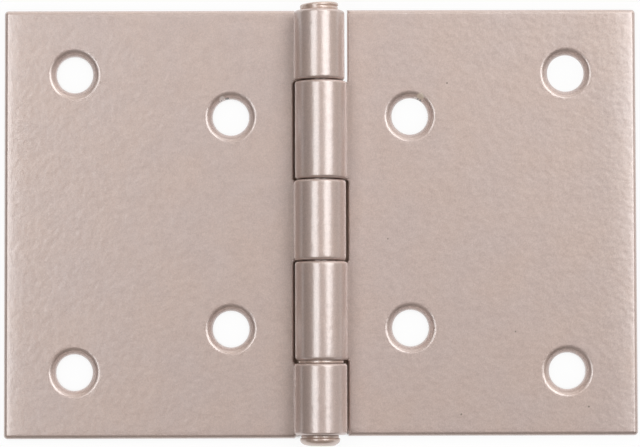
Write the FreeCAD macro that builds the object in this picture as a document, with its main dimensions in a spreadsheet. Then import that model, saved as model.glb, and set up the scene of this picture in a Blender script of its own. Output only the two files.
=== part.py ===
import FreeCAD, Part
import math
import os
import Sketcher

# Wide butt hinge lying flat open on its back, barrel up.
# X runs across the leaves, Y along the pin, Z up from the leaves' backs.
# x = 0 is the pin's axis, y = 0 the middle of the pin from head to head,
# z = 0 the plane that both leaves' backs lie in.

# Driving sizes in millimetres, angles in degrees: alias, value, meaning
SIZES = [
    ("leaf_length", 50.8, "right leaf along the pin"),
    ("left_leaf_extra", 0.2, "how much longer the left leaf is"),
    ("leaf_width", 37.66, "pin axis to the free edge of a leaf"),
    ("sheet_thickness", 1.3, "steel sheet of both leaves"),
    ("leaf_corner_radius", 0.45, "free corners of a leaf, seen from above"),
    ("edge_round", 0.32, "rounding of the sheet's edges and the knuckles' end rims"),
    ("pin_diameter", 3.4, "shank of the pin"),
    ("pin_clearance", 0.05, "radial gap between pin and knuckle bore"),
    ("top_setback", 0.31, "left leaf's top end past the top knuckle's end"),
    ("bottom_setback", 0.61, "left leaf's bottom end past the bottom knuckle's end"),
    ("setback_slope", 0.9, "how far across the leaf those two steps are spread"),
    ("setback_round", 0.6, "corners of those two steps, seen from above"),
    ("right_overhang", 0.37, "right leaf's top end past the top knuckle's end"),
    ("knuckle_one", 8.23, "length of the top knuckle, left leaf"),
    ("knuckle_two", 11.59, "length of the second knuckle, right leaf"),
    ("knuckle_four", 11.62, "length of the fourth knuckle, right leaf"),
    ("knuckle_five", 8.25, "length of the bottom knuckle, left leaf"),
    ("knuckle_gap", 0.16, "gap between neighbouring knuckles"),
    ("last_gap", 0.42, "wider gap above the bottom knuckle"),
    ("notch_clearance", 0.24, "gap between a barrel and the notch beside it"),
    ("curl_end_angle", 25.0, "how far below level the rolled edge ends"),
    ("hole_diameter", 4.34, "screw hole, straight part"),
    ("countersink_diameter", 5.54, "countersink at the front face, its lip not rounded"),
    ("countersink_angle", 82.0, "included angle of the countersink"),
    ("countersink_lip", 0.7, "rounding of the countersink's rim"),
    ("outer_hole_inset", 8.35, "outer screw holes in from the free edge"),
    ("outer_hole_end", 7.645, "outer screw holes in from the leaf's ends"),
    ("inner_hole_reach", 10.68, "inner screw holes out from the pin axis"),
    ("inner_hole_end", 12.765, "inner screw holes in from the leaf's ends"),
    ("left_holes_shift", 0.115, "left leaf's holes above the middle of the leaf"),
    ("right_holes_shift", 0.035, "right leaf's holes above the middle of the leaf"),
    ("top_head_diameter", 4.6, "flat button head"),
    ("top_head_height", 1.06, "flat button head"),
    ("top_head_round", 0.4, "rim of the flat button head"),
    ("bottom_head_diameter", 4.8, "peened dome head"),
    ("bottom_head_height", 1.49, "peened dome head, neck included"),
    ("bottom_head_round", 0.6, "outer rim of the peened dome head"),
    ("bottom_neck_depth", 0.16, "how far the waist above the dome lies in from its rim"),
    ("bottom_neck_height", 0.55, "waist between the dome and the knuckle"),
    ("head_under_round", 0.12, "rims of both heads on the knuckles' side"),
]
size = {alias: value for alias, value, meaning in SIZES}

doc = FreeCAD.newDocument("wide_hinge")
sheet = doc.addObject("Spreadsheet::Sheet", "Sizes")
for row, (alias, value, meaning) in enumerate(SIZES, start=1):
    sheet.set(f"A{row}", meaning)
    sheet.set(f"B{row}", str(value))
    sheet.setAlias(f"B{row}", alias)
doc.recompute()

# Sizes that follow from the driving ones, as expressions
BORE_RADIUS = "(Sizes.pin_diameter / 2 + Sizes.pin_clearance)"
BARREL_RADIUS = f"({BORE_RADIUS} + Sizes.sheet_thickness)"
LEAF_LENGTH = {"left": "(Sizes.leaf_length + Sizes.left_leaf_extra)", "right": "Sizes.leaf_length"}
BARREL_LENGTH = f"({LEAF_LENGTH['left']} - Sizes.top_setback - Sizes.bottom_setback)"
HEADS_HEIGHT = "(Sizes.top_head_height + Sizes.bottom_head_height)"
PIN_HALF_LENGTH = f"(({BARREL_LENGTH} + {HEADS_HEIGHT}) / 2)"
BARREL_TOP = f"({PIN_HALF_LENGTH} - Sizes.top_head_height)"
LEAF_TOP = {
    "left": f"({BARREL_TOP} + Sizes.top_setback)",
    "right": f"({BARREL_TOP} + Sizes.right_overhang)",
}
LEAF_BOTTOM = {side: f"({LEAF_TOP[side]} - {LEAF_LENGTH[side]})" for side in LEAF_TOP}

# The knuckles from the top down, each as its two ends along the pin. The first two
# are counted down from the barrel's top and the last two up from its bottom, and
# the middle one takes what is left.
BARREL_BOTTOM = f"({BARREL_TOP} - {BARREL_LENGTH})"
ONE_END = f"({BARREL_TOP} - Sizes.knuckle_one)"
TWO_START = f"({ONE_END} - Sizes.knuckle_gap)"
TWO_END = f"({TWO_START} - Sizes.knuckle_two)"
FIVE_START = f"({BARREL_BOTTOM} + Sizes.knuckle_five)"
FOUR_END = f"({FIVE_START} + Sizes.last_gap)"
FOUR_START = f"({FOUR_END} + Sizes.knuckle_four)"
THREE_START = f"({TWO_END} - Sizes.knuckle_gap)"
THREE_END = f"({FOUR_START} + Sizes.knuckle_gap)"

# What the cuts run past the sheet by, so that nothing is left standing
BEYOND = "Sizes.sheet_thickness"

TINY = 1e-4


def sign(side):
    """Which way a leaf lies from the pin: the left one towards -X, the right one towards +X."""
    return -1 if side == "left" else 1


def origin():
    """A sketch's own origin, as an element and a point of it."""
    return -1, 1


def start_of(element):
    """The first end of a sketch's line or arc."""
    return element, 1


def end_of(element):
    """The other end of a sketch's line or arc."""
    return element, 2


def centre_of(element):
    """The centre of a sketch's circle or arc."""
    return element, 3


def new_sketch(body, plane, name):
    """Sketch on one of the body's own origin planes."""
    sketch = body.newObject("Sketcher::SketchObject", name)
    origin_plane = next(f for f in body.Origin.OriginFeatures if f.Role == plane)
    sketch.AttachmentSupport = (origin_plane, [""])
    sketch.MapMode = "FlatFace"
    return sketch


def constrain(sketch, kind, *where):
    """Add a constraint with no dimension to a sketch."""
    sketch.addConstraint(Sketcher.Constraint(kind, *where))


def join(sketch, first, second):
    """Make two points of a sketch one point."""
    constrain(sketch, "Coincident", *first, *second)


def drive(sketch, kind, where, expression, start=1.0):
    """Add one dimension to a sketch and bind it to an expression."""
    index = sketch.addConstraint(Sketcher.Constraint(kind, *where, start))
    sketch.setExpression(f"Constraints[{index}]", expression)


def edges_where(feature, test):
    """Names of the feature's edges for which the test holds."""
    return [f"Edge{n}" for n, edge in enumerate(feature.Shape.Edges, start=1) if test(edge)]


def round_edges(body, base, name, radius, test):
    """Round the chosen edges of the feature before it."""
    fillet = body.newObject("PartDesign::Fillet", name)
    fillet.Base = (base, edges_where(base, test))
    fillet.setExpression("Radius", radius)
    body.Tip = fillet
    doc.recompute()
    return fillet


def strip_section(body, side):
    """Section of the leaf's sheet: flat, then rolled once round the pin.

    The back runs from the free edge to below the pin and turns into the outer arc,
    which goes up the far side, over the top and down the leaf's own side. The cut
    end is radial, and the inner arc follows the bore back to the leaf's front.
    """
    thickness = size["sheet_thickness"]
    bore = size["pin_diameter"] / 2 + size["pin_clearance"]
    barrel = bore + thickness
    free_edge = sign(side) * size["leaf_width"]
    below_level = math.radians(size["curl_end_angle"])
    bottom = -math.pi / 2
    if side == "right":
        arc = (-below_level, bottom + 2 * math.pi)
        cut_end, seam_end = start_of, end_of
    else:
        arc = (bottom, math.pi + below_level)
        cut_end, seam_end = end_of, start_of
    cut_across = sign(side) * math.cos(below_level)
    cut_drop = math.sin(below_level)

    def point(x, z):
        return FreeCAD.Vector(x, z, 0)

    def arc_about_pin(radius):
        circle = Part.Circle(point(0, barrel), FreeCAD.Vector(0, 0, 1), radius)
        return sketch.addGeometry(Part.ArcOfCircle(circle, *arc))

    def line(first, second):
        return sketch.addGeometry(Part.LineSegment(first, second))

    sketch = new_sketch(body, "XZ_Plane", body.Label + "_section")
    back = line(point(free_edge, 0), point(0, 0))
    outside = arc_about_pin(barrel)
    cut = line(point(cut_across * barrel, barrel - barrel * cut_drop),
               point(cut_across * bore, barrel - bore * cut_drop))
    inside = arc_about_pin(bore)
    front = line(point(0, thickness), point(free_edge, thickness))
    edge = line(point(free_edge, thickness), point(free_edge, 0))

    join(sketch, end_of(back), origin())
    join(sketch, end_of(back), seam_end(outside))
    join(sketch, cut_end(outside), start_of(cut))
    join(sketch, end_of(cut), cut_end(inside))
    join(sketch, seam_end(inside), start_of(front))
    join(sketch, end_of(front), start_of(edge))
    join(sketch, end_of(edge), start_of(back))
    join(sketch, centre_of(inside), centre_of(outside))
    constrain(sketch, "Horizontal", back)
    constrain(sketch, "Horizontal", front)
    constrain(sketch, "Vertical", edge)
    constrain(sketch, "Vertical", *origin(), *centre_of(outside))
    constrain(sketch, "Vertical", *origin(), *seam_end(inside))
    constrain(sketch, "PointOnObject", *centre_of(outside), cut)
    drive(sketch, "DistanceX", (*origin(), *start_of(back)), f"{sign(side)} * Sizes.leaf_width", free_edge)
    drive(sketch, "DistanceY", (*origin(), *centre_of(outside)), BARREL_RADIUS, barrel)
    drive(sketch, "Radius", (inside,), BORE_RADIUS, bore)
    drive(sketch, "DistanceY", (*origin(), *cut_end(outside)),
          f"{BARREL_RADIUS} * (1 - sin(Sizes.curl_end_angle))", barrel - barrel * cut_drop)
    return sketch


def outline(sketch, points, start):
    """Closed outline in a sketch through points, each an expression across and one along.

    start gives where each point begins, before its dimensions carry it home.
    """
    count = len(points)
    lines = [sketch.addGeometry(Part.LineSegment(start[n], start[(n + 1) % count])) for n in range(count)]
    for n, line in enumerate(lines):
        join(sketch, end_of(line), start_of(lines[(n + 1) % count]))
    for n, (across, along) in enumerate(points):
        place = (*origin(), *start_of(lines[n]))
        drive(sketch, "DistanceX", place, across, start[n].x)
        drive(sketch, "DistanceY", place, along, start[n].y)


def ring_of_points(count):
    """Points evenly spaced round the sketch's origin, for an outline to begin at."""
    turns = [2 * math.pi * n / count for n in range(count)]
    return [FreeCAD.Vector(math.cos(turn), math.sin(turn), 0) for turn in turns]


def cut_upwards(body, name, outlines, floor="0", depth=None):
    """Cut closed outlines, seen from above, through the leaf from a floor upwards.

    With no depth the cut goes through all that stands over the floor.
    """
    sketch = new_sketch(body, "XY_Plane", name + "_outline")
    sketch.setExpression("AttachmentOffset.Base.z", floor)
    for points in outlines:
        outline(sketch, points, ring_of_points(len(points)))
    pocket = body.newObject("PartDesign::Pocket", name)
    pocket.Profile = sketch
    pocket.Reversed = True
    if depth is None:
        pocket.Type = "ThroughAll"
    else:
        pocket.Type = "Length"
        pocket.setExpression("Length", depth)
    body.Tip = pocket
    doc.recompute()
    return pocket


def notch(side, bottom, top):
    """Outline of the room for one of the other leaf's knuckles.

    It runs from beyond the barrel to a clearance past it on the leaf's own side.
    """
    far = f"{-sign(side)} * ({BARREL_RADIUS} + {BEYOND})"
    near = f"{sign(side)} * ({BARREL_RADIUS} + Sizes.notch_clearance)"
    return [(near, bottom), (far, bottom), (far, top), (near, top)]


def roll_end(knuckle_end, beyond):
    """Outline, over the whole barrel, of what is left off beyond an end knuckle."""
    reach = f"({BARREL_RADIUS} + {BEYOND})"
    return [(reach, knuckle_end), (f"-1 * {reach}", knuckle_end), (f"-1 * {reach}", beyond), (reach, beyond)]


def setback(side, knuckle_end, leaf_end, beyond):
    """Outline of the step between an end of the leaf and the knuckle beside it.

    The step is a slope, spread evenly about the barrel's edge.
    """
    far = f"{-sign(side)} * ({BARREL_RADIUS} + {BEYOND})"
    outer = f"{sign(side)} * ({BARREL_RADIUS} + Sizes.setback_slope / 2)"
    inner = f"{sign(side)} * ({BARREL_RADIUS} - Sizes.setback_slope / 2)"
    return [(outer, leaf_end), (inner, knuckle_end), (far, knuckle_end), (far, beyond), (outer, beyond)]


def screw_holes(body, side):
    """Four countersunk screw holes: an outer pair and a closer inner pair."""
    sketch = new_sketch(body, "XY_Plane", body.Label + "_hole_centres")
    sketch.setExpression("AttachmentOffset.Base.z", "Sizes.sheet_thickness")
    across = {"outer": "(Sizes.leaf_width - Sizes.outer_hole_inset)", "inner": "Sizes.inner_hole_reach"}
    start_across = {"outer": size["leaf_width"] - size["outer_hole_inset"], "inner": size["inner_hole_reach"]}
    middle = f"(({LEAF_TOP[side]} + {LEAF_BOTTOM[side]}) / 2 + Sizes.{side}_holes_shift)"
    radius = size["hole_diameter"] / 2
    for pair in ("outer", "inner"):
        from_middle = f"(Sizes.leaf_length / 2 - Sizes.{pair}_hole_end)"
        start_along = size["leaf_length"] / 2 - size[pair + "_hole_end"]
        for end in (-1, 1):
            start = FreeCAD.Vector(sign(side) * start_across[pair], end * start_along, 0)
            circle = sketch.addGeometry(Part.Circle(start, FreeCAD.Vector(0, 0, 1), radius))
            place = (*origin(), *centre_of(circle))
            drive(sketch, "DistanceX", place, f"{sign(side)} * {across[pair]}", start.x)
            drive(sketch, "DistanceY", place, f"{middle} + {end} * {from_middle}", start.y)
            drive(sketch, "Radius", (circle,), "Sizes.hole_diameter / 2", radius)
    holes = body.newObject("PartDesign::Hole", body.Label + "_screw_holes")
    holes.Profile = sketch
    doc.recompute()
    holes.ThreadType = "None"
    holes.DepthType = "ThroughAll"
    holes.HoleCutType = "Countersink"
    holes.HoleCutCustomValues = True
    holes.setExpression("Diameter", "Sizes.hole_diameter")
    holes.setExpression("HoleCutDiameter", "Sizes.countersink_diameter")
    holes.setExpression("HoleCutCountersinkAngle", "Sizes.countersink_angle")
    body.Tip = holes
    doc.recompute()
    return holes


def is_level_with(edge, height):
    """True for an edge that lies wholly at one height."""
    box = edge.BoundBox
    return abs(box.ZMin - height) < TINY and abs(box.ZMax - height) < TINY


def is_free_corner(edge):
    """The two upright edges at the corners of the leaf's free edge."""
    box = edge.BoundBox
    upright = box.XLength < TINY and box.YLength < TINY
    return upright and abs(abs(box.XMin) - size["leaf_width"]) < TINY


def is_sheet_rim(edge):
    """The sheet's outline front and back, and the round end rims of the knuckles.

    The radial corners of the rolled edge's cut end stay sharp.
    """
    box = edge.BoundBox
    circle = isinstance(edge.Curve, Part.Circle)
    at_faces = is_level_with(edge, 0) or is_level_with(edge, size["sheet_thickness"])
    across = box.YLength < TINY and box.XLength > TINY and (circle or at_faces)
    clear_of_roll = min(abs(box.XMin), abs(box.XMax)) > size["pin_diameter"] / 2
    screw_hole = circle and edge.Curve.Radius > size["hole_diameter"] / 2 - TINY
    return across or (at_faces and clear_of_roll and not screw_hole)


def is_step_corner(edge):
    """The upright edges where the sloped steps at the left leaf's ends begin and end."""
    box = edge.BoundBox
    upright = box.XLength < TINY and box.YLength < TINY and abs(box.ZLength - size["sheet_thickness"]) < TINY
    barrel = size["pin_diameter"] / 2 + size["pin_clearance"] + size["sheet_thickness"]
    at_slope = abs(abs(abs(box.XMin) - barrel) - size["setback_slope"] / 2) < TINY
    return upright and at_slope


def is_countersink_rim(edge):
    """The wide circles of the countersinks in the front face."""
    if not isinstance(edge.Curve, Part.Circle):
        return False
    wide = abs(edge.Curve.Radius - size["countersink_diameter"] / 2) < TINY
    return wide and is_level_with(edge, size["sheet_thickness"])


def leaf(side, notches):
    """One leaf: a stamped sheet with knuckles rolled at the pin's end.

    notches are the spans along the pin that the other leaf's knuckles turn in.
    """
    name = side + "_leaf"
    body = doc.addObject("PartDesign::Body", name)
    body.Label = name
    section = strip_section(body, side)
    section.setExpression("AttachmentOffset.Base.z", "-1 * " + LEAF_TOP[side])
    strip = body.newObject("PartDesign::Pad", name + "_strip")
    strip.Profile = section
    strip.setExpression("Length", LEAF_LENGTH[side])
    body.Tip = strip
    doc.recompute()

    shape = cut_upwards(body, name + "_notches", [notch(side, bottom, top) for bottom, top in notches])
    if side == "left":
        # The outermost knuckles stand a little back from the leaf's ends: the roll is
        # cut square, and the flat sheet under it slopes to the same depth
        above = f"{LEAF_TOP[side]} + {BEYOND}"
        below = f"{LEAF_BOTTOM[side]} - {BEYOND}"
        roll_ends = [roll_end(BARREL_TOP, above), roll_end(BARREL_BOTTOM, below)]
        cut_upwards(body, name + "_roll_ends", roll_ends, floor="Sizes.sheet_thickness")
        steps = [
            setback(side, BARREL_TOP, LEAF_TOP[side], above),
            setback(side, BARREL_BOTTOM, LEAF_BOTTOM[side], below),
        ]
        shape = cut_upwards(body, name + "_setbacks", steps, depth="Sizes.sheet_thickness")
        shape = round_edges(body, shape, name + "_steps", "Sizes.setback_round", is_step_corner)
    shape = screw_holes(body, side)
    shape = round_edges(body, shape, name + "_corners", "Sizes.leaf_corner_radius", is_free_corner)
    shape = round_edges(body, shape, name + "_lips", "Sizes.countersink_lip", is_countersink_rim)
    round_edges(body, shape, name + "_rims", "Sizes.edge_round", is_sheet_rim)
    return body


def pin(name):
    """The pin: a shank with a flat button head on top and a peened dome head below.

    Half its outline is turned round its own axis, and the body is then raised so
    that the axis runs through the middle of the rolled knuckles.
    """
    body = doc.addObject("PartDesign::Body", name)
    body.Label = name
    shank = "Sizes.pin_diameter / 2"
    button = "Sizes.top_head_diameter / 2"
    dome = "Sizes.bottom_head_diameter / 2"
    neck = f"({dome} - Sizes.bottom_neck_depth)"
    neck_start = f"{BARREL_BOTTOM} - Sizes.bottom_neck_height"
    half_section = [
        ("0", f"-1 * {PIN_HALF_LENGTH}"),
        (dome, f"-1 * {PIN_HALF_LENGTH}"),
        (dome, neck_start),
        (neck, neck_start),
        (neck, BARREL_BOTTOM),
        (shank, BARREL_BOTTOM),
        (shank, BARREL_TOP),
        (button, BARREL_TOP),
        (button, PIN_HALF_LENGTH),
        ("0", PIN_HALF_LENGTH),
    ]
    sketch = new_sketch(body, "XY_Plane", name + "_outline")
    # The points begin on a half circle from one end of the axis to the other
    turns = [math.pi * n / (len(half_section) - 1) for n in range(len(half_section))]
    start = [FreeCAD.Vector(math.sin(turn), -math.cos(turn), 0) for turn in turns]
    outline(sketch, half_section, start)
    turned = body.newObject("PartDesign::Revolution", name + "_turned")
    turned.Profile = sketch
    turned.ReferenceAxis = (sketch, ["V_Axis"])
    turned.Angle = 360
    body.Tip = turned
    doc.recompute()

    top_end = turned.Shape.BoundBox.YMax
    bottom_end = turned.Shape.BoundBox.YMin

    def is_rim(edge, diameter, distance, end):
        """True for the circle of that diameter round the pin, that far in from an end of it."""
        circle = isinstance(edge.Curve, Part.Circle) and abs(2 * edge.Curve.Radius - diameter) < TINY
        return circle and abs(abs(edge.BoundBox.YMin - end) - distance) < TINY

    shape = round_edges(
        body, turned, name + "_button", "Sizes.top_head_round",
        lambda edge: is_rim(edge, size["top_head_diameter"], 0, top_end))
    shape = round_edges(
        body, shape, name + "_dome", "Sizes.bottom_head_round",
        lambda edge: is_rim(edge, size["bottom_head_diameter"], 0, bottom_end))
    dome_height = size["bottom_head_height"] - size["bottom_neck_height"]
    round_edges(
        body, shape, name + "_undersides", "Sizes.head_under_round",
        lambda edge: (is_rim(edge, size["top_head_diameter"], size["top_head_height"], top_end)
                      or is_rim(edge, size["bottom_head_diameter"], dome_height, bottom_end)))
    body.setExpression("Placement.Base.z", BARREL_RADIUS)
    return body


pieces = [
    leaf("left", [(THREE_START, ONE_END), (FIVE_START, THREE_END)]),
    leaf("right", [
        (TWO_START, f"{LEAF_TOP['right']} + {BEYOND}"),
        (FOUR_START, TWO_END),
        (f"{LEAF_BOTTOM['right']} - {BEYOND}", FOUR_END),
    ]),
    pin("hinge_pin"),
]
doc.recompute()

for item in doc.Objects:
    if "Invalid" in item.State or "Error" in item.State:
        raise RuntimeError(f"{item.Name} did not build: {item.State}")
for piece in pieces:
    if piece.Shape.isNull() or not piece.Shape.isValid() or len(piece.Shape.Solids) != 1:
        raise RuntimeError(f"{piece.Label} isn't one sound solid")

os.makedirs("parts", exist_ok=True)
for piece in pieces:
    piece.Shape.exportStep(f"parts/{piece.Label}.step")
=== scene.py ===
import math
import bmesh
import bpy
import numpy as np
from mathutils import Matrix, Vector


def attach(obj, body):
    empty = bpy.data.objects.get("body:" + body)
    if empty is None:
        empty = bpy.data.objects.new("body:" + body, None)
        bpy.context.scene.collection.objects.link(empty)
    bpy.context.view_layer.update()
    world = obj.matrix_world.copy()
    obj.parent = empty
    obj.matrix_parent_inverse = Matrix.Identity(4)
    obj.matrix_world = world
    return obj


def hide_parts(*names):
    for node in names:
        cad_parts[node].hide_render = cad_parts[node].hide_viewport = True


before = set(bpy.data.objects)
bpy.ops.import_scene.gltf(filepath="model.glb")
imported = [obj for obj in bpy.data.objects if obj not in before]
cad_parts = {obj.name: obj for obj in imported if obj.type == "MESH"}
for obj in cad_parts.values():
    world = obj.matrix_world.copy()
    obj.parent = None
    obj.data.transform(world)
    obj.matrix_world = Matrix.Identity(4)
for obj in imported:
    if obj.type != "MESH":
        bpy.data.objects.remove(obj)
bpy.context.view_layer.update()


# Left leaf: a stamped steel sheet lying on its back. Three tongues of the sheet are
# rolled round the pin as the first, third and fifth knuckle, and four countersunk
# screw holes go through the flat part. Powder coated after forming.
MM = 0.001
SHEET = 1.3
BARREL = 3.05
MIDDLE_OF_SHEET = BARREL - SHEET / 2
ROLLED = math.radians(295)
TONGUE_END = -ROLLED * MIDDLE_OF_SHEET
NOTCH = 3.29
FREE_EDGE = 37.66
CORNER = 0.45
FRONT_ROUND = 0.5
NOTCH_ROUND = 0.26
NOTCH_CORNER = 0.3
BACK_ROUND = 0.32
TONGUE_ROUND = 0.24
WINDOW = 4.096
WINDOW_CELLS = 16
HOLES_OUT = (10.68, 29.31)
HOLES_ALONG = (12.635, 17.755)
BORE = 2.19
CONE_EDGE = 2.79
CONE_LEAN = math.radians(49)
LIP = 0.7
BACK_RIM = 0.15
UNDER_FLAT = 0.006
BORE_PLAY = (-0.02, 0.1)
QUARTER = 1 - np.cos(np.radians(np.arange(0, 91, 15)))


def even(start, end, cells):
    """Evenly spaced grid lines from start to end."""
    return np.linspace(start, end, cells + 1)


def sorted_lines(*stretches):
    """All grid lines of the stretches, in order and once each."""
    return np.unique(np.round(np.concatenate(stretches), 5))


def blank_outline(ends, tongues):
    """Corners of the flat blank: the free edge, then each tongue from the top down.

    A leaf is worked out flat and then rolled, as the real one is. Up to the rolling, u
    runs out from the pin's axis, v along the pin and w up from the back, in millimetres.
    """
    bottom, top = ends
    corners = [(FREE_EDGE, bottom), (FREE_EDGE, top), (NOTCH, top)]
    for low, high in tongues:
        corners += [(NOTCH, high), (TONGUE_END, high), (TONGUE_END, low), (NOTCH, low)]
    return np.array(corners + [(NOTCH, bottom)])


def distance_to_outline(points, corners):
    """Distance from each point to the nearest side of a closed outline.

    The nearest point of a side is start + clip(t, 0, 1) times its direction, where t is
    how far along the side the point's foot lies.
    """
    side = np.roll(corners, -1, axis=0) - corners
    length = np.maximum((side ** 2).sum(axis=1), 1e-12)
    offset = points[:, None, :] - corners
    along = np.clip((offset * side).sum(axis=2) / length, 0, 1)
    return np.linalg.norm(offset - along[:, :, None] * side, axis=2).min(axis=1)


def rounded_off(distance, radius):
    """Depth lost to a quarter round of that radius: r - sqrt(r^2 - (r - d)^2), d < r."""
    inward = np.clip(radius - distance, 0, radius)
    return radius - np.sqrt(radius ** 2 - inward ** 2)


def hole_rows():
    """Section of a screw hole from the front face to the back: share, radius, height.

    The share says how far a row has gone from the square window's edge to a circle. The
    lip turns by a to the cone's lean: radius = start - lip sin a, height = sheet - lip
    (1 - cos a). The cone then falls straight to the bore, which has a round back rim:
    radius = bore + rim (1 - cos b), height = rim (1 - sin b).
    """
    start = CONE_EDGE + LIP * math.tan(CONE_LEAN / 2)
    rows = [(share, start, SHEET) for share in (0, 0.3, 0.6, 0.85)]
    for a in np.linspace(0, CONE_LEAN, 10):
        rows.append((1, start - LIP * math.sin(a), SHEET - LIP * (1 - math.cos(a))))
    reach, height = rows[-1][1:]
    foot = height - (reach - BORE) * math.tan(CONE_LEAN)
    rows.append((1, (reach + BORE) / 2, (height + foot) / 2))
    rows += [(1, BORE + 0.03, foot + 0.035), (1, BORE, foot - 0.05)]
    for b in np.radians((0, 30, 60, 90)):
        rows.append((1, BORE + BACK_RIM * (1 - math.cos(b)), BACK_RIM * (1 - math.sin(b))))
    return rows + [(share, BORE + BACK_RIM, 0) for share in (0.7, 0.35, 0)]


def window_rim(u_lines, v_lines, centre):
    """The grid's own points round a screw hole's square window, in order."""
    u = u_lines[np.abs(u_lines - centre[0]) < WINDOW + 1e-4]
    v = v_lines[np.abs(v_lines - centre[1]) < WINDOW + 1e-4]
    sides = [(u[:-1], v[0]), (u[-1], v[:-1]), (u[:0:-1], v[-1]), (u[0], v[:0:-1])]
    return np.concatenate([np.stack(np.broadcast_arrays(*side), axis=1) for side in sides])


def closed_strip(rows, columns, first):
    """Quads between neighbouring rows of points, the columns closing on themselves."""
    number = first + np.arange(rows * columns).reshape(rows, columns)
    ahead = np.roll(number, -1, axis=1)
    return np.stack([number[:-1], ahead[:-1], ahead[1:], number[1:]], axis=2).reshape(-1, 4)


def screw_hole(u_lines, v_lines, centre, first):
    """Surface of a screw hole: its section carried round, blended to the square window."""
    rim = window_rim(u_lines, v_lines, centre) - centre
    turn = np.arctan2(rim[:, 1], rim[:, 0])
    circle = np.stack([np.cos(turn), np.sin(turn)], axis=1)
    share, radius, height = np.array(hole_rows()).T[:, :, None]
    flat = (1 - share)[:, :, None] * rim + (share * radius)[:, :, None] * circle + centre
    points = np.dstack([flat, np.broadcast_to(height, flat.shape[:2])]).reshape(-1, 3)
    return points, closed_strip(len(share), len(rim), first)


def sheet_surface(u_lines, v_lines, ends, tongues, holes, roll):
    """The blank's whole surface: front and back faces, the wall between, and the holes.

    Front w = sheet - rounding(d) - depth (1 - e / reach)^3, back w = rounding(d), where d
    is the distance to the outline and e the one to the free edge; depth and reach are
    the die roll's, the soft sag beside that stamped edge. The front's rounding grows from
    the notch's to the free edges' between u = 4 and 7 mm.
    The square grid's free corners are drawn to quarter circles by
    (a, b) -> (a sqrt(1 - b^2/2), b sqrt(1 - a^2/2)).
    """
    u, v = np.meshgrid(u_lines, v_lines, indexing="ij")
    grid = np.stack([u.ravel(), v.ravel()], axis=1)
    distance = distance_to_outline(grid, blank_outline(ends, tongues)).reshape(u.shape)
    a = np.clip((u - FREE_EDGE) / CORNER + 1, 0, 1)
    for end, outward in zip(ends, (-1, 1)):
        b = np.clip(outward * (v - end) / CORNER + 1, 0, 1)
        here = (a > 0) & (b > 0)
        shrunk_a = a * np.sqrt(1 - b ** 2 / 2)
        shrunk_b = b * np.sqrt(1 - a ** 2 / 2)
        u = np.where(here, FREE_EDGE - CORNER + CORNER * shrunk_a, u)
        v = np.where(here, end + outward * CORNER * (shrunk_b - 1), v)
        distance = np.where(here, CORNER * (1 - np.hypot(shrunk_a, shrunk_b)), distance)
    front_round = np.interp(u, (4, 7), (NOTCH_ROUND, FRONT_ROUND))
    front_round[np.minimum(v - ends[0], ends[1] - v) < FRONT_ROUND] = FRONT_ROUND
    depth, reach = roll
    sag = depth * np.clip(1 - (FREE_EDGE - u) / reach, 0, 1) ** 3
    front = SHEET - rounded_off(distance, front_round) - sag
    back = rounded_off(distance, BACK_ROUND)
    points = [np.stack([u, v, face], axis=2).reshape(-1, 3) for face in (front, back)]

    number = np.arange(u.size).reshape(u.shape)
    middle_u = (u_lines[:-1] + u_lines[1:])[:, None] / 2
    middle_v = (v_lines[:-1] + v_lines[1:])[None, :] / 2
    sheet = (middle_u > NOTCH) | np.zeros_like(middle_v, bool)
    for low, high in tongues:
        sheet |= (middle_v > low) & (middle_v < high)
    solid = sheet.copy()
    for centre in holes:
        solid &= (np.abs(middle_u - centre[0]) > WINDOW) | (np.abs(middle_v - centre[1]) > WINDOW)
    corners = [number[:-1, :-1], number[1:, :-1], number[1:, 1:], number[:-1, 1:]]
    quads = np.stack(corners, axis=2)[solid]
    faces = [quads, quads + u.size]
    beside = np.pad(sheet, 1)
    across = beside[1:-1, :-1] != beside[1:-1, 1:]
    along = beside[:-1, 1:-1] != beside[1:, 1:-1]
    for first, second in ((number[:-1][across], number[1:][across]),
                          (number[:, :-1][along], number[:, 1:][along])):
        faces.append(np.stack([first, second, second + u.size, first + u.size], axis=1))

    count = 2 * u.size
    for centre in holes:
        more_points, more_faces = screw_hole(u_lines, v_lines, np.array(centre), count)
        points.append(more_points)
        faces.append(more_faces)
        count += len(more_points)
    return np.concatenate(points), np.concatenate(faces)


def set_back(points, ends, setbacks):
    """The end knuckles drawn in from the leaf's ends, by a smooth step beside the barrel.

    v moves by setback * S(u) * G(v): S eases from 1 at the barrel to 0 past it, over the
    last 0.9 mm before u = 3.5, and G from 0 two millimetres inside the end to 1 at 0.6.
    Both ease by 3 t^2 - 2 t^3.
    """
    u, v, w = points.T
    step_end, step_width, reach, fade = 3.5, 0.9, 2.0, 1.4
    step = np.clip((step_end - u) / step_width, 0, 1)
    step = step * step * (3 - 2 * step)
    for end, amount in zip(ends, setbacks):
        near = np.clip((reach - np.abs(v - end)) / fade, 0, 1)
        v = v - np.sign(end) * amount * step * near * near * (3 - 2 * near)
    return np.stack([u, v, w], axis=1)


def trued_notches(points, tongues, places, shifts):
    """Each notch's edge moved in or out by its own amount, its inner corners rounded.

    u moves by (shift(v) - corner) * G(u) * (0.65 + 0.35 w / sheet): shift between the
    places is taken along straight lines, G is one from 3.1 to 3.9 mm, about the notch's
    edge, and 0 at 1.5 and 6, and corner = rounding(distance along v to the nearest
    tongue's end). The last factor leans the notch's wall, so that the leaf can turn.
    """
    u, v, w = points.T
    near = np.interp(u, (1.5, 3.1, 3.9, 6), (0, 1, 1, 0)) * (0.65 + 0.35 * w / SHEET)
    to_tongue = np.abs(v[:, None] - np.ravel(tongues)).min(axis=1)
    shift = np.interp(v, places, shifts) - rounded_off(to_tongue, NOTCH_CORNER)
    return np.stack([u + shift * near, v, w], axis=1)


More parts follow.
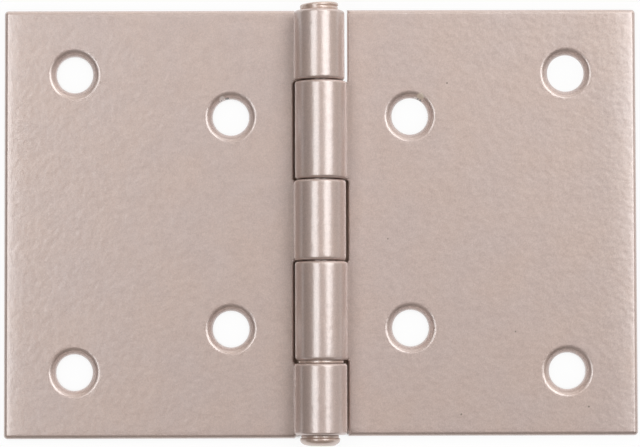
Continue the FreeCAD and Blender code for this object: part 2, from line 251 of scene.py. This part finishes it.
def rolled_up(points, side, knuckles):
    """The tongues rolled round the pin's axis, the flat part left where it is.

    For u < 0 the turn is phi = -u / r with r the sheet's middle, and a point at height w
    goes to x = -side (R - w) sin phi, z = R - (R - w) cos phi. Each knuckle's roll is a
    little out of round: own_side and far_side are what it stands out by at the leaf's
    own side (phi = 270) and at the far one (phi = 90), as |sin phi|^1.5, and
    lean * sin 2 phi leans its crest to the right. Underneath it is a little flat. The
    bore follows within limits that keep it clear of the pin.
    """
    u, v, w = points.T
    phi = np.maximum(-u, 0) / MIDDLE_OF_SHEET
    out = np.zeros_like(u)
    for low, high, own_side, far_side, lean in knuckles:
        far = np.maximum(np.sin(phi), 0) ** 1.5
        own = np.maximum(-np.sin(phi), 0) ** 1.5
        crest = side * lean * np.sin(2 * phi) - UNDER_FLAT * np.maximum(-np.cos(phi), 0)
        out = np.where((v > low) & (v < high), own_side * own + far_side * far + crest, out)
    depth = w / SHEET
    out = out * (1 - depth) + np.clip(out, *BORE_PLAY) * depth
    radius = BARREL - w + out * (u < 0)
    x = side * np.where(u < 0, -radius * np.sin(phi), u)
    z = np.where(u < 0, BARREL - radius * np.cos(phi), w)
    return np.stack([x, v, z], axis=1)


def new_piece(name, points, faces, material):
    """A closed smooth object from points in millimetres, doubles merged, faces outward."""
    mesh = bpy.data.meshes.new(name)
    mesh.from_pydata((points * MM).tolist(), [], faces.tolist())
    work = bmesh.new()
    work.from_mesh(mesh)
    bmesh.ops.remove_doubles(work, verts=work.verts, dist=0.5e-6)
    loose = [vertex for vertex in work.verts if not vertex.link_faces]
    bmesh.ops.delete(work, geom=loose, context="VERTS")
    bmesh.ops.recalc_face_normals(work, faces=work.faces)
    work.to_mesh(mesh)
    work.free()
    mesh.shade_smooth()
    mesh.set_sharp_from_angle(angle=math.radians(40))
    mesh.materials.append(material)
    piece = bpy.data.objects.new(name, mesh)
    bpy.context.scene.collection.objects.link(piece)
    return piece


def grey(level):
    """A plain grey of that level."""
    return (level, level, level, 1)


def satin_coat(name, colour):
    """Champagne metallic powder coat: an orange-peel skin over fine metal flake."""
    material = bpy.data.materials.new(name)
    material.use_nodes = True
    nodes, links = material.node_tree.nodes, material.node_tree.links
    shader = nodes["Principled BSDF"]
    shader.inputs["Metallic"].default_value = 0.9
    shader.inputs["Coat Weight"].default_value = 1
    shader.inputs["Coat IOR"].default_value = 2.6
    shader.inputs["Coat Roughness"].default_value = 0.25
    place = nodes.new("ShaderNodeTexCoord")

    def noise(per_mm, detail):
        texture = nodes.new("ShaderNodeTexNoise")
        texture.inputs["Scale"].default_value = per_mm / MM
        texture.inputs["Detail"].default_value = detail
        links.new(place.outputs["Object"], texture.inputs["Vector"])
        return texture.outputs["Fac"]

    def ramp(source, *stops):
        node = nodes.new("ShaderNodeValToRGB")
        links.new(source, node.inputs["Fac"])
        for element, (position, stop) in zip(node.color_ramp.elements, stops):
            element.position, element.color = position, stop
        return node.outputs["Color"]

    def bump(source, strength, depth_mm):
        node = nodes.new("ShaderNodeBump")
        node.inputs["Strength"].default_value = strength
        node.inputs["Distance"].default_value = depth_mm * MM
        links.new(source, node.inputs["Height"])
        return node

    warm = tuple(c * f for c, f in zip(colour, (1.01, 1.0, 0.985))) + (1,)
    cool = tuple(c * f for c, f in zip(colour, (0.99, 1.0, 1.015))) + (1,)
    flake = nodes.new("ShaderNodeTexVoronoi")
    flake.inputs["Scale"].default_value = 9 / MM
    links.new(place.outputs["Object"], flake.inputs["Vector"])
    glitter = nodes.new("ShaderNodeMix")
    glitter.data_type = "RGBA"
    glitter.blend_type = "MULTIPLY"
    clouds = ramp(noise(0.16, 3), (0.35, warm), (0.65, cool))
    glints = ramp(flake.outputs["Color"], (0.1, grey(0.86)), (0.9, grey(1.12)))
    satin = ramp(noise(1.1, 4), (0.3, grey(0.59)), (0.7, grey(0.67)))
    links.new(clouds, glitter.inputs["A"])
    links.new(glints, glitter.inputs["B"])
    links.new(glitter.outputs["Result"], shader.inputs["Base Color"])
    links.new(satin, shader.inputs["Roughness"])

    peel = bump(noise(1.4, 1), 0.33, 0.06)
    grain = bump(noise(9, 2), 0.3, 0.004)
    links.new(peel.outputs["Normal"], grain.inputs["Normal"])
    links.new(grain.outputs["Normal"], shader.inputs["Normal"])
    links.new(peel.outputs["Normal"], shader.inputs["Coat Normal"])
    return material


def u_grid():
    """Grid lines across a leaf, from the tongues' ends to the free edge."""
    near, far = HOLES_OUT
    return sorted_lines(
        TONGUE_END + TONGUE_ROUND * QUARTER,
        even(TONGUE_END + TONGUE_ROUND, 0, 76),
        even(0, NOTCH, 12),
        NOTCH + FRONT_ROUND * QUARTER,
        even(NOTCH + FRONT_ROUND, near - WINDOW, 6),
        even(near - WINDOW, near + WINDOW, WINDOW_CELLS),
        even(near + WINDOW, far - WINDOW, 20),
        even(far - WINDOW, far + WINDOW, WINDOW_CELLS),
        even(far + WINDOW, FREE_EDGE - CORNER, 8),
        FREE_EDGE - FRONT_ROUND * QUARTER,
    )


def v_grid(ends, tongues, hole_middle):
    """Grid lines along a leaf: its ends, both ends of every tongue and the screw holes."""
    inner, outer = HOLES_ALONG
    stretches = []
    for end, outward in zip(ends, (-1, 1)):
        stretches += [end - outward * FRONT_ROUND * QUARTER, np.array([end - outward * CORNER])]
        first = hole_middle + outward * (inner - WINDOW)
        last = hole_middle + outward * (outer + WINDOW)
        stretches.append(even(first, last, 26))
        stretches.append(even(last, end - outward * CORNER, 6))
    stretches.append(even(hole_middle - inner + WINDOW, hole_middle + inner - WINDOW, 34))
    for low, high in tongues:
        stretches += [low + BACK_ROUND * QUARTER, high - BACK_ROUND * QUARTER]
        for end, outward in ((low, -1), (high, 1)):
            if min(abs(end - ends[0]), abs(end - ends[1])) > NOTCH_CORNER:
                stretches.append(end + outward * NOTCH_CORNER * np.array([0.15, 0.4, 0.8]))
    return sorted_lines(*stretches)


def leaf(name, side, ends, tongues, hole_middle, roll, setbacks, notches, out_of_round, material):
    """One leaf, from its blank's outline to the rolled piece.

    side is -1 left of the pin and 1 right of it; ends and tongues are heights along the
    pin; roll, setbacks, notches and out_of_round go to the functions above.
    """
    u_lines = u_grid()
    v_lines = v_grid(ends, tongues, hole_middle)
    holes = [(out, hole_middle + outward * along)
             for outward in (1, -1) for out, along in zip(HOLES_OUT, HOLES_ALONG)]
    points, faces = sheet_surface(u_lines, v_lines, ends, tongues, holes, roll)
    points = trued_notches(set_back(points, ends, setbacks), tongues, *notches)
    knuckles = [(*tongue, *stand_out) for tongue, stand_out in zip(tongues, out_of_round)]
    return new_piece(name, rolled_up(points, side, knuckles), faces, material)


def chip(material, middle, reach, colour):
    """A chip or speck in a coat: a dull other colour within reach of its middle.

    Its ragged edge lies where distance + 0.6 reach (noise - 0.5) passes from reach to
    0.75 reach. Inside it the coat is no metal.
    """
    nodes, links = material.node_tree.nodes, material.node_tree.links
    base, metal = (nodes["Principled BSDF"].inputs[name] for name in ("Base Color", "Metallic"))
    place = nodes.new("ShaderNodeTexCoord")
    away = nodes.new("ShaderNodeVectorMath")
    away.operation = "DISTANCE"
    away.inputs[1].default_value = Vector(middle) * MM
    ragged = nodes.new("ShaderNodeTexNoise")
    ragged.inputs["Scale"].default_value = 5 / MM
    wander = nodes.new("ShaderNodeMapRange")
    wander.inputs["To Min"].default_value = -0.3 * reach * MM
    wander.inputs["To Max"].default_value = 0.3 * reach * MM
    total = nodes.new("ShaderNodeMath")
    outside = nodes.new("ShaderNodeMapRange")
    outside.inputs["From Min"].default_value = 0.75 * reach * MM
    outside.inputs["From Max"].default_value = reach * MM
    blend = nodes.new("ShaderNodeMix")
    blend.data_type = "RGBA"
    blend.inputs["A"].default_value = (*colour, 1)
    dull = nodes.new("ShaderNodeMath")
    dull.operation = "MULTIPLY"
    dull.inputs[0].default_value = metal.default_value
    links.new(place.outputs["Object"], away.inputs[0])
    links.new(place.outputs["Object"], ragged.inputs["Vector"])
    links.new(ragged.outputs["Fac"], wander.inputs["Value"])
    links.new(away.outputs["Value"], total.inputs[0])
    links.new(wander.outputs["Result"], total.inputs[1])
    links.new(total.outputs["Value"], outside.inputs["Value"])
    links.new(outside.outputs["Result"], blend.inputs["Factor"])
    links.new(base.links[0].from_socket, blend.inputs["B"])
    links.new(blend.outputs["Result"], base)
    if metal.links:
        links.new(metal.links[0].from_socket, dull.inputs[0])
    links.new(outside.outputs["Result"], dull.inputs[1])
    links.new(dull.outputs["Value"], metal)


coat = satin_coat("satin_coat", (0.7, 0.562, 0.518))
# Marks in the coat beside the two upper inner screw holes, and small dark specks.
# BARE_STEEL_PAINTED_GLINT is a spot where the coat is off: the bare steel is painted near white
# and not metal, a painted glint. Near-black DARK spots and a PALE patch lie round these spots.
BARE_STEEL_PAINTED_GLINT = (0.95, 0.85, 0.82)
PALE = (0.85, 0.72, 0.6)
DARK = (0.05, 0.04, 0.035)
SPECK = (0.3, 0.24, 0.2)
for middle, reach, colour in (
        ((-11.78, 15.12, 0.75), 0.5, BARE_STEEL_PAINTED_GLINT),
        ((-11.66, 15.08, 0.72), 0.17, DARK),
        ((-11.82, 14.88, 0.62), 0.16, DARK),
        ((-11.12, 15.05, 0.68), 0.24, DARK),
        ((12.0, 15.3, 0.95), 0.55, PALE),
        ((11.4, 15.12, 0.68), 0.26, BARE_STEEL_PAINTED_GLINT),
        ((11.68, 15.04, 0.6), 0.2, DARK),
        ((12.0, 14.86, 0.6), 0.24, DARK),
        ((15.12, 16.81, 1.3), 0.12, SPECK),
        ((23.12, -12.83, 1.3), 0.11, SPECK),
        ((31.78, -21.75, 1.3), 0.14, SPECK),
        ((16.63, -22.63, 1.3), 0.12, SPECK),
        ((7.99, -1.77, 1.3), 0.1, SPECK)):
    chip(coat, middle, reach, colour)
left_leaf = leaf(
    "left_leaf_visual", side=-1, ends=(-25.435, 25.565),
    tongues=[(17.025, 25.565), (-4.375, 5.115), (-25.435, -16.575)],
    hole_middle=0.18, roll=(0.075, 3), setbacks=(0.45, 0.31), notches=([-10, 11], [-0.11, -0.11]),
    out_of_round=[(0.08, -0.18, -0.04), (0.09, -0.06, 0), (0.11, 0.03, 0.012)], material=coat)
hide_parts("left_leaf")
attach(left_leaf, "left_side")


# Right leaf: the same sheet and coat with two tongues, which are the second and fourth
# knuckle and turn in the left leaf's notches.
right_leaf = leaf(
    "right_leaf_visual", side=1, ends=(-25.175, 25.625),
    tongues=[(5.275, 16.865), (-16.155, -4.535)],
    hole_middle=0.26, roll=(0.145, 5), setbacks=(0, 0),
    notches=([-16.2, -4.5, 5.3, 16.8], [-0.04, -0.05, -0.05, -0.09]),
    out_of_round=[(0.05, -0.03, 0.047), (0.08, -0.01, 0.053)], material=coat)
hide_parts("right_leaf")
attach(right_leaf, "right_side")


# Hinge pin: a steel wire through all five knuckles, with a flat button head on top and
# a peened dome below, coated together with the leaves. The coat has run into the wide
# gap above the bottom knuckle and stands there as a narrow ring round the pin.
SHANK = 1.7
RING_CORNER = 0.05
HEADS_OFF = 0.13
HEADS_FROM = 24
HEAD_LEAN = 0.28
HEAD_FOOT = 25.27
HEAD_RADIUS = 2.28


def arc(centre_y, centre_r, radius, start, end, steps, flat=1):
    """Points of a section on an ellipse: y = cy + flat r sin a, radius = cr + r cos a."""
    turn = np.radians(np.linspace(start, end, steps))
    y = centre_y + flat * radius * np.sin(turn)
    return np.stack([y, centre_r + radius * np.cos(turn)], axis=1)


def undented(section):
    """Rows of (y, radius) made rows of (y, radius, dent), with no dent."""
    return np.insert(section, 2, 0, axis=1)


def turned(section, steps=96):
    """A section of (y, radius, dent) rows carried round the pin's axis and closed on it.

    The dent lessens the radius by dent * clip(0.2 + sin turn, 0, 1), on the right alone.
    The heads stand off the axis to the left by HEADS_OFF, and the top one is beaten lower
    on the left: its height shrinks by HEAD_LEAN * (1 - x / r) / 2.
    """
    turn = np.linspace(0, 2 * math.pi, steps, endpoint=False)
    y, radius, dent = section.T[:, :, None]
    radius = radius - dent * np.clip(0.2 + np.sin(turn), 0, 1)
    x = radius * np.sin(turn)
    z = BARREL + radius * np.cos(turn)
    y = y - np.maximum(y - HEAD_FOOT, 0) * HEAD_LEAN * (1 - x / HEAD_RADIUS) / 2
    x = x - HEADS_OFF * (radius > SHANK) * (np.abs(y) > HEADS_FROM)
    return np.stack([x, y, z], axis=2).reshape(-1, 3), closed_strip(len(section), steps, 0)


def coat_ring(low, high, reach):
    """Section of the coat that has run into a gap between knuckles, standing off the pin."""
    lower = arc(low + RING_CORNER, reach - RING_CORNER, RING_CORNER, -90, 0, 4)
    upper = arc(high - RING_CORNER, reach - RING_CORNER, RING_CORNER, 0, 90, 4)
    return np.concatenate([[(low, SHANK)], lower, upper, [(high, SHANK)]])


bottom_head_and_shank = np.concatenate([
    [(-26.315, 0), (-26.315, 0.5), (-26.31, 0.9)],
    arc(-25.6, 1.1, 1.26, -84, 0, 9, 0.56),
    arc(-25.46, 2.28, 0.08, 0, 90, 4),
    arc(-25.3, 2.16, 0.06, -90, 0, 4),
    arc(-25.13, 2.12, 0.1, 0, 70, 4),
    [(-24.995, 2.12), (-24.99, SHANK)],
    coat_ring(-16.53, -16.22, 2.66),
    [(25.255, SHANK)],
])
groove = [(25.7, 2.25, 0.05), (25.76, 2.25, 0.1), (25.82, 2.26, 0.05)]
pin_section = np.concatenate([
    undented(bottom_head_and_shank),
    [(HEAD_FOOT, 2.05, 0)],
    undented(arc(25.42, 2.05, 0.17, -80, 0, 4)),
    [(25.6, 2.24, 0), *groove, (25.9, 2.27, 0)],
    undented(arc(26.0, 2.0, 0.27, 0, 80, 6)),
    [(26.275, 1.7, 0), (26.28, 1.2, 0), (26.28, 0.6, 0), (26.28, 0, 0)],
])
pin_coat = satin_coat("pin_coat", (0.7, 0.54, 0.465))
hinge_pin = new_piece("hinge_pin_visual", *turned(pin_section), pin_coat)
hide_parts("hinge_pin")
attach(hinge_pin, "left_side")


# Floor: plain paper under the hinge, a hair below its back. It glows white where it is seen or
# mirrored openly. Where it lies deep in a narrow slit, ambient occlusion cuts the glow as painted
# shade, and its lit colour there is tinted brown as painted bounce light from the coat.
PAPER_SIZE = 3
PAPER_BELOW = 0.05 * MM
bpy.ops.mesh.primitive_plane_add(size=PAPER_SIZE, location=(0, 0, -PAPER_BELOW))
floor = bpy.context.object
floor.name = "floor"
paper = bpy.data.materials.new("paper")
paper.use_nodes = True
nodes, links = paper.node_tree.nodes, paper.node_tree.links
nodes.clear()
output = nodes.new("ShaderNodeOutputMaterial")
# The paper's lit colour is the coat's brown, not white: painted bounce light from the coat. It
# shows in the slits, where the glow is cut.
paper_with_painted_bounce = nodes.new("ShaderNodeBsdfDiffuse")
paper_with_painted_bounce.inputs["Color"].default_value = (0.5, 0.42, 0.36, 1)
glow = nodes.new("ShaderNodeEmission")
seen = nodes.new("ShaderNodeLightPath")
# Ambient occlusion cuts the white glow in narrow slits: painted shade. Past a line near the top
# end the glow stays whole, so the slit beside the top knuckle shows white.
slit_occlusion = nodes.new("ShaderNodeAmbientOcclusion")
slit_occlusion.inputs["Distance"].default_value = 4 * MM
painted_slit_shade = nodes.new("ShaderNodeValToRGB")
painted_slit_shade.color_ramp.elements[0].position = 0.3
painted_slit_shade.color_ramp.elements.new(0.42).color = grey(0.93)
top_end_unshaded = nodes.new("ShaderNodeMapRange")
top_end_unshaded.inputs["From Min"].default_value = 17.55 * MM
top_end_unshaded.inputs["From Max"].default_value = 17.95 * MM
top_end_unshaded.inputs["To Max"].default_value = 0.96
where = nodes.new("ShaderNodeTexCoord")
upper_right = nodes.new("ShaderNodeVectorMath")
upper_right.operation = "DOT_PRODUCT"
upper_right.inputs[1].default_value = (0.3, 1, 0)
either = nodes.new("ShaderNodeMath")
either.operation = "MAXIMUM"
both = nodes.new("ShaderNodeMath")
both.operation = "MULTIPLY"
links.new(slit_occlusion.outputs["AO"], painted_slit_shade.inputs["Fac"])
links.new(where.outputs["Object"], upper_right.inputs[0])
links.new(upper_right.outputs["Value"], top_end_unshaded.inputs["Value"])
links.new(top_end_unshaded.outputs["Result"], either.inputs[0])
links.new(painted_slit_shade.outputs["Color"], either.inputs[1])
links.new(either.outputs["Value"], both.inputs[0])
seen_or_mirrored = seen.outputs["Is Camera Ray"]
for ray in ("Is Glossy Ray", "Is Transmission Ray"):
    either_ray = nodes.new("ShaderNodeMath")
    either_ray.operation = "MAXIMUM"
    links.new(seen_or_mirrored, either_ray.inputs[0])
    links.new(seen.outputs[ray], either_ray.inputs[1])
    seen_or_mirrored = either_ray.outputs["Value"]
links.new(seen_or_mirrored, both.inputs[1])
blend = nodes.new("ShaderNodeMixShader")
links.new(both.outputs["Value"], blend.inputs["Fac"])
links.new(paper_with_painted_bounce.outputs["BSDF"], blend.inputs[1])
links.new(glow.outputs["Emission"], blend.inputs[2])
links.new(blend.outputs["Shader"], output.inputs["Surface"])
floor.data.materials.append(paper)


# Light: a softbox either side of the camera, the left one smaller and lower, in a room that
# is bright beyond the hinge's top end, grey overhead and dark beyond the bottom end.
LAMP_AWAY = 1.2


def lamp(name, direction, width, height, power):
    """An area light off in that direction, facing the hinge, its height along the pin."""
    data = bpy.data.lights.new(name, "AREA")
    data.shape = "RECTANGLE"
    data.size = width
    data.size_y = height
    data.energy = power
    light = bpy.data.objects.new(name, data)
    direction = Vector(direction).normalized()
    light.location = LAMP_AWAY * direction
    light.rotation_euler = direction.to_track_quat("Z", "Y").to_euler()
    bpy.context.scene.collection.objects.link(light)


lamp("left_softbox", (-0.410, 0.057, 0.910), width=0.70, height=0.52, power=3.1)
lamp("right_softbox", (0.453, 0.292, 0.842), width=0.89, height=0.69, power=5.5)
world = bpy.data.worlds.new("room")
world.use_nodes = True
nodes, links = world.node_tree.nodes, world.node_tree.links
towards = nodes.new("ShaderNodeTexCoord")
lighter_side = nodes.new("ShaderNodeVectorMath")
lighter_side.operation = "DOT_PRODUCT"
lighter_side.inputs[1].default_value = (0.3, 0.85, -0.15)
walls = nodes.new("ShaderNodeValToRGB")
walls.color_ramp.elements[0].color = (0.28, 0.25, 0.22, 1)
walls.color_ramp.elements[0].position = 0.05
walls.color_ramp.elements[1].color = (1.2, 1.18, 1.16, 1)
walls.color_ramp.elements[1].position = 0.93
for position, level in ((0.2, 0.1), (0.35, 0.03), (0.47, 0.26), (0.68, 0.36), (0.8, 0.87)):
    walls.color_ramp.elements.new(position).color = (level, 0.94 * level, 0.86 * level, 1)
seen = nodes.new("ShaderNodeLightPath")
backdrop = nodes.new("ShaderNodeMix")
backdrop.data_type = "RGBA"
backdrop.inputs["B"].default_value = (1, 1, 1, 1)
halfway = nodes.new("ShaderNodeMapRange")
halfway.inputs["From Min"].default_value = -1
links.new(towards.outputs["Generated"], lighter_side.inputs[0])
links.new(lighter_side.outputs["Value"], halfway.inputs["Value"])
links.new(halfway.outputs["Result"], walls.inputs["Fac"])
links.new(walls.outputs["Color"], backdrop.inputs["A"])
links.new(seen.outputs["Is Camera Ray"], backdrop.inputs["Factor"])
links.new(backdrop.outputs["Result"], nodes["Background"].inputs["Color"])
bpy.context.scene.world = world
bpy.context.scene.view_settings.view_transform = "Standard"


# Camera: nearly straight above, leaning three degrees towards the bottom end, at the
# photograph's distance. Its turn, distance, focal length and shift fit the outlines.
def turn_about(axis, angle):
    """The matrix of a turn by that angle, in radians."""
    return np.array(Matrix.Rotation(angle, 3, axis))


PICTURE_WIDTH = 640
view_turn = turn_about("Z", 0.00228) @ turn_about("Y", 0.0060) @ turn_about("X", -0.0505)
distance = 358 * MM
focal_pixels = 2997.8
aimed_at = (0, 0.227 * MM, 0)
camera_data = bpy.data.cameras.new("camera")
camera_data.sensor_width = 36
camera_data.lens = camera_data.sensor_width * focal_pixels / PICTURE_WIDTH
camera_data.shift_x = -0.56 / PICTURE_WIDTH
camera_data.shift_y = -0.76 / PICTURE_WIDTH
camera = bpy.data.objects.new("camera", camera_data)
place = view_turn.T @ (0, 0, distance) + aimed_at
camera.matrix_world = Matrix.Translation(place) @ Matrix(view_turn.T.tolist()).to_4x4()
bpy.context.scene.collection.objects.link(camera)
bpy.context.scene.camera = camera
